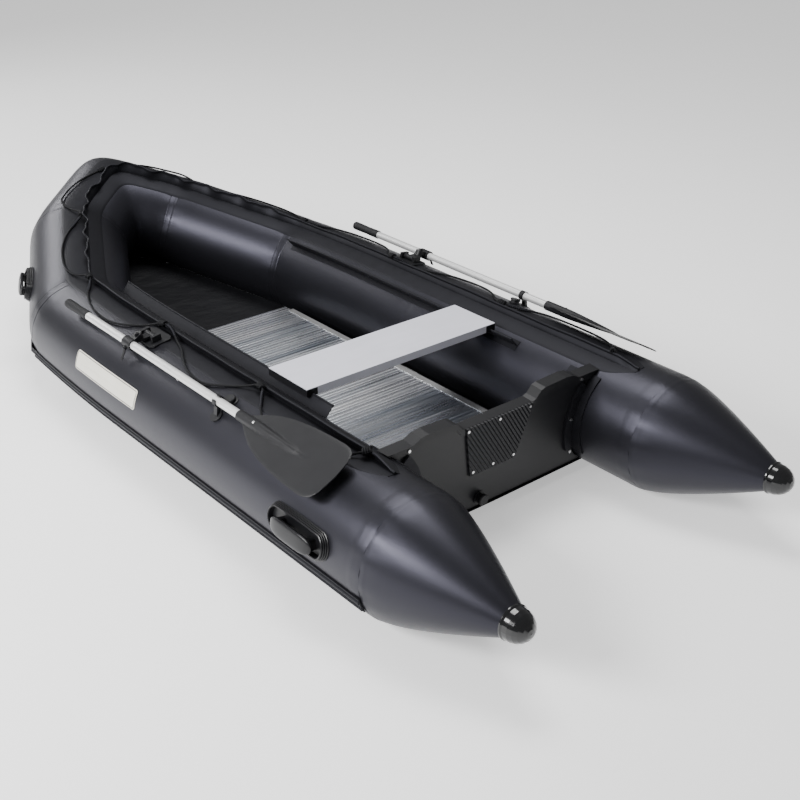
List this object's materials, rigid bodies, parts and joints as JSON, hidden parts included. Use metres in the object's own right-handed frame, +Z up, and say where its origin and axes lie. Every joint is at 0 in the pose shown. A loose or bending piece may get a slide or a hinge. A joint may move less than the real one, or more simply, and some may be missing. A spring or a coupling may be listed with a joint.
{
  "type": "inflatable dinghy",
  "caption": "Inflatable dinghy with tapering side tubes, plank floor, motor transom, sliding thwart, lifelines and stowed oars in swivelling rowlocks.",
  "frame": {"origin": "on the ground under the middle of the boat's length and beam", "axes": "+Y towards the bow, +X to starboard, +Z up"},
  "size_m": [1.6552, 3.5945, 0.6442],
  "materials": {
    "tube_fabric": "satin",
    "rubber_trim": "satin",
    "bottom_fabric": "matte",
    "floor_aluminium": "satin",
    "transom_board": "satin",
    "black_plastic": "satin",
    "cap_plastic": "gloss",
    "screw_steel": "polished",
    "bench_aluminium": "satin",
    "shaft_aluminium": "satin",
    "blade_plastic": "satin",
    "rope": "matte",
    "plate_cream": "satin"
  },
  "bodies": {
    "hull": {"air_valves": "black_plastic", "bottom_skin": "bottom_fabric", "bow_tube_port": "tube_fabric", "bow_tube_starboard": "tube_fabric", "carry_handles": "rubber_trim", "drain_sleeve": "black_plastic", "floor_panel_aft": "floor_aluminium", "floor_panel_forward": "floor_aluminium", "floor_panel_middle": "floor_aluminium", "floor_stringers": "floor_aluminium", "gunwale_strip_port": "rubber_trim", "gunwale_strip_starboard": "rubber_trim", "keel_tube": "bottom_fabric", "lifeline_port": "rope", "lifeline_starboard": "rope", "motor_plate_inner": "black_plastic", "motor_plate_outer": "black_plastic", "motor_plate_screws": "screw_steel", "nose_tube_port": "tube_fabric", "nose_tube_starboard": "tube_fabric", "oar_clip_port": "rubber_trim", "oar_clip_starboard": "rubber_trim", "rowlock_block_port": "rubber_trim", "rowlock_block_starboard": "rubber_trim", "rub_strake_port": "rubber_trim", "rub_strake_starboard": "rubber_trim", "seat_rails": "rubber_trim", "side_plates": "plate_cream", "side_tube_port": "tube_fabric", "side_tube_starboard": "tube_fabric", "stern_cone_caps": "cap_plastic", "stern_cone_port": "tube_fabric", "stern_cone_starboard": "tube_fabric", "transom_board": "transom_board", "transom_cap": "black_plastic", "transom_holders": "rubber_trim", "transom_screws": "screw_steel"},
    "bench": {"bench_end_blocks": "black_plastic", "bench_plank": "bench_aluminium"},
    "oar_port": {"collar_screw_port": "black_plastic", "oar_blade_port": "blade_plastic", "oar_collar_port": "black_plastic", "oar_grip_port": "rubber_trim", "oar_loom_port": "shaft_aluminium", "oar_stem_port": "shaft_aluminium"},
    "oar_starboard": {"collar_screw_starboard": "black_plastic", "oar_blade_starboard": "blade_plastic", "oar_collar_starboard": "black_plastic", "oar_grip_starboard": "rubber_trim", "oar_loom_starboard": "shaft_aluminium", "oar_stem_starboard": "shaft_aluminium"},
    "drain_bung": {"drain_bung": "black_plastic"},
    "oar_button_port": {"oar_button_port": "screw_steel"},
    "oar_button_starboard": {"oar_button_starboard": "screw_steel"},
    "rowlock_arm_port": {"rowlock_arm_port": "black_plastic"},
    "rowlock_arm_starboard": {"rowlock_arm_starboard": "black_plastic"},
    "valve_cap_port": {"valve_cap_port": "black_plastic"},
    "valve_cap_starboard": {"valve_cap_starboard": "black_plastic"}
  },
  "joints": [
    {"name": "oar_dip_starboard", "type": "hinge", "parent": "hull", "child": "rowlock_arm_starboard", "pos_m": [0.6084, 0.093, 0.43351], "axis": [0, -1, 0], "range_deg": [0, 28]},
    {"name": "oar_swing_starboard", "type": "hinge", "parent": "rowlock_arm_starboard", "child": "oar_starboard", "pos_m": [0.65951, 0.093, 0.44445], "axis": [0.4848, 0, 0.8746], "range_deg": [0, 85], "deforming": ["oar_clip_starboard"]},
    {"name": "oar_button_starboard", "type": "slide", "parent": "oar_starboard", "child": "oar_button_starboard", "axis": [-0.8746, 0, 0.4848], "range_m": [0, 0.003], "stiffness_N_per_m": 1500},
    {"name": "valve_cap_starboard", "type": "hinge", "parent": "hull", "child": "valve_cap_starboard", "pos_m": [0.6453, -0.483, 0.40865], "axis": [0.342, 0, 0.9397], "range_deg": [0, 360]},
    {"name": "oar_dip_port", "type": "hinge", "parent": "hull", "child": "rowlock_arm_port", "pos_m": [-0.6084, 0.093, 0.43351], "axis": [0, 1, 0], "range_deg": [0, 28]},
    {"name": "oar_swing_port", "type": "hinge", "parent": "rowlock_arm_port", "child": "oar_port", "pos_m": [-0.65951, 0.093, 0.44445], "axis": [0.4848, 0, -0.8746], "range_deg": [0, 85], "deforming": ["oar_clip_port"]},
    {"name": "oar_button_port", "type": "slide", "parent": "oar_port", "child": "oar_button_port", "axis": [0.8746, 0, 0.4848], "range_m": [0, 0.003], "stiffness_N_per_m": 1500},
    {"name": "valve_cap_port", "type": "hinge", "parent": "hull", "child": "valve_cap_port", "pos_m": [-0.6453, -0.483, 0.40865], "axis": [-0.342, 0, 0.9397], "range_deg": [0, 360]},
    {"name": "bench_slide", "type": "slide", "parent": "hull", "child": "bench", "axis": [0, 1, 0], "range_m": [-0.105, 0.4]},
    {"name": "drain_bung_turn", "type": "hinge", "parent": "hull", "child": "drain_bung", "pos_m": [-0.062, -1.0472, 0.084], "axis": [0, -1, 0], "range_deg": [0, 360]}
  ]
}
